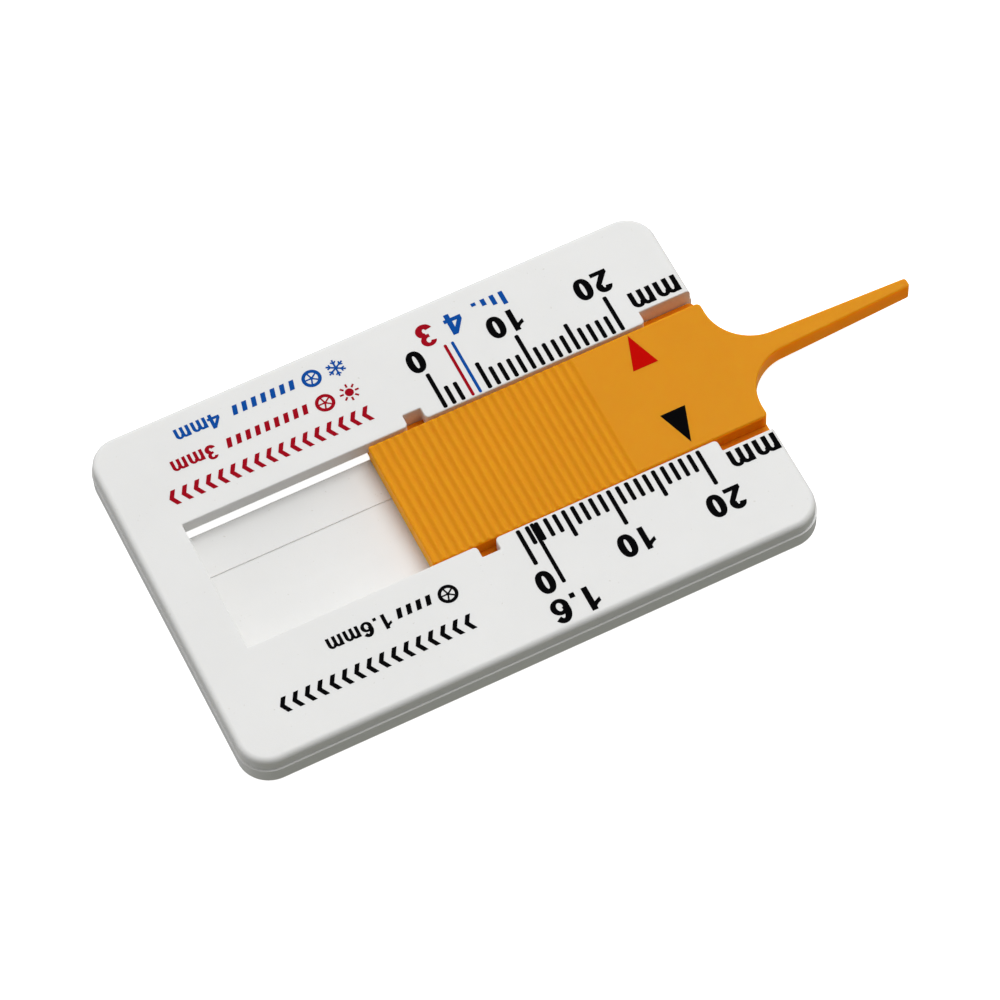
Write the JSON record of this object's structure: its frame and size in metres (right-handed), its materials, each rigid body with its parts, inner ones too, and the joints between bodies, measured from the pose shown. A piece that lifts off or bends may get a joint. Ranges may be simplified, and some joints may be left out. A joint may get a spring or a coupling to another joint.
{
  "type": "tyre tread depth gauge",
  "caption": "Flat pocket gauge: a moulded card with printed millimetre scales and a slider that pushes a thin probe out of one edge.",
  "frame": {"origin": "centre of the card's flat back face", "axes": "+X along the probe's travel, out of the card; +Y across the card; +Z out of the printed face"},
  "size_m": [0.0834, 0.0412, 0.0038],
  "materials": {
    "white_plastic": "satin moulded plastic",
    "orange_plastic": "satin moulded plastic"
  },
  "bodies": {
    "card": {"card_body": "white_plastic"},
    "probe_slider": {"slider": "orange_plastic"}
  },
  "joints": [
    {"name": "probe_slide", "type": "slide", "parent": "card", "child": "probe_slider", "axis": [1, 0, 0], "range_m": [-0.02, 0]}
  ]
}
